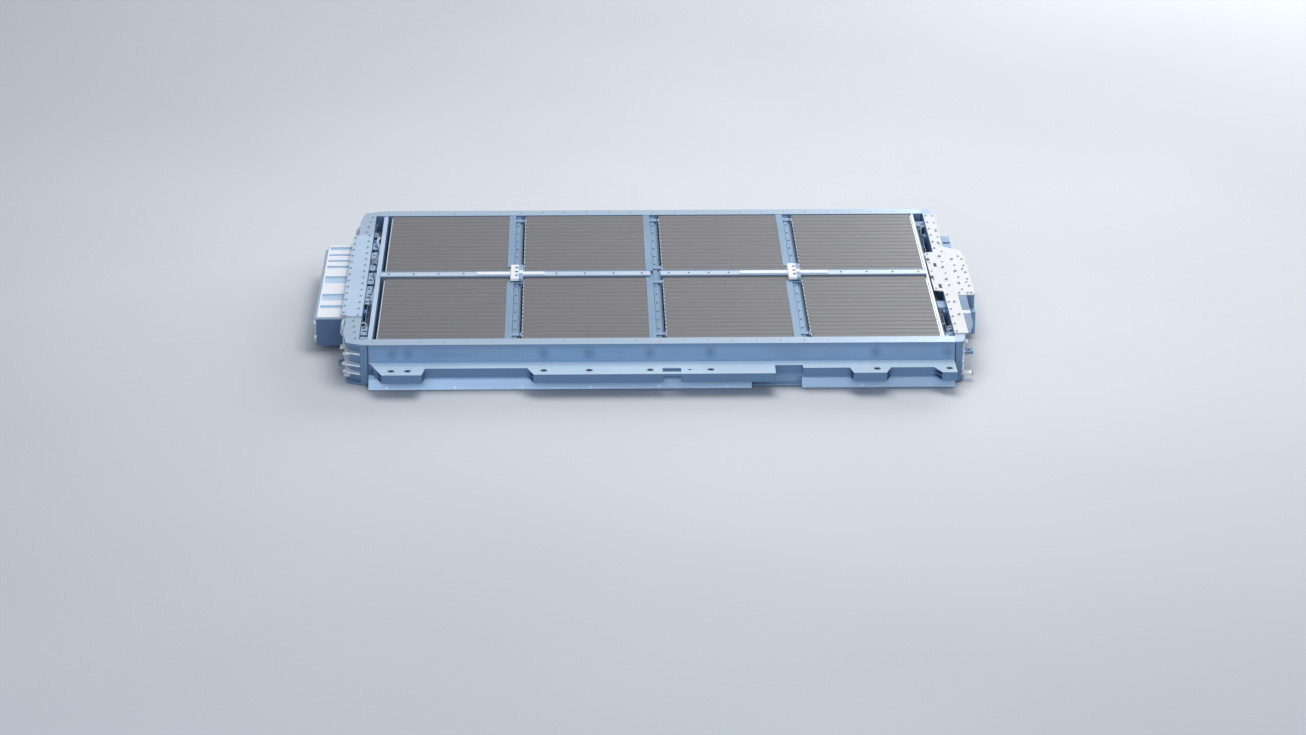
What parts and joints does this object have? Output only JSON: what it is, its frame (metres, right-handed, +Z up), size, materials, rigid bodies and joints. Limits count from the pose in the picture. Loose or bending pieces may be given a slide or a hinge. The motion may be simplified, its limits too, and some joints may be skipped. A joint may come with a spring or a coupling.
{
  "type": "battery pack",
  "caption": "Open traction battery pack tray for an electric car: flat aluminium frame with hollow side sills, cross beams, stacked long cells and end connector boxes.",
  "frame": {"origin": "centre of the flat underside, midway along the cell stacks", "axes": "+X along the car to the nose end with the connectors, +Y to the left sill, +Z up"},
  "size_m": [2.1672, 1.5408, 0.1473],
  "materials": {
    "box": "satin",
    "bracket": "bead blasted",
    "busbar": "rolled",
    "cell_case": "satin film",
    "cover": "bead blasted",
    "frame": "anodised satin",
    "guard_plate": "matt coating",
    "pad": "matt",
    "plastic": "moulded",
    "steel": "zinc plated"
  },
  "bodies": {
    "root": {"bottom_guard": "guard_plate", "cell_busbars": "busbar", "cell_stack_1": "cell_case", "cell_stack_2": "cell_case", "cell_stack_3": "cell_case", "cell_stack_4": "cell_case", "cell_stack_5": "cell_case", "cell_stack_6": "cell_case", "cell_stack_7": "cell_case", "cell_stack_8": "cell_case", "centre_beam_1": "frame", "centre_beam_2": "frame", "centre_beam_3": "frame", "centre_beam_4": "frame", "centre_bracket_1": "bracket", "centre_bracket_2": "bracket", "centre_sleeves": "steel", "charge_connector": "plastic", "charge_relay": "plastic", "contact_strips_1": "plastic", "contact_strips_2": "plastic", "contact_strips_3": "plastic", "contact_strips_4": "plastic", "contact_strips_5": "plastic", "contact_strips_6": "plastic", "contact_strips_7": "plastic", "contact_strips_8": "plastic", "control_unit": "plastic", "coolant_ports": "frame", "cross_beam_1": "frame", "cross_beam_2": "frame", "cross_beam_3": "frame", "drive_connector": "plastic", "floor_plate": "frame", "left_sill": "frame", "main_contactors": "plastic", "main_fuse": "plastic", "mount_sleeves": "steel", "nose_beam": "frame", "nose_box": "box", "nose_cable_duct": "plastic", "nose_cover": "cover", "nose_end_plate": "frame", "nose_left_corner": "frame", "nose_right_corner": "frame", "relief_valves": "plastic", "right_sill": "frame", "service_box": "box", "service_box_lid": "cover", "service_side_plate": "box", "signal_connector": "plastic", "signal_header": "plastic", "stack_links": "busbar", "tail_beam": "frame", "tail_cable_duct": "plastic", "tail_cover": "cover", "tail_end_plate": "frame", "tail_left_corner": "frame", "tail_right_corner": "frame", "thermal_pads": "pad"}
  },
  "joints": []
}
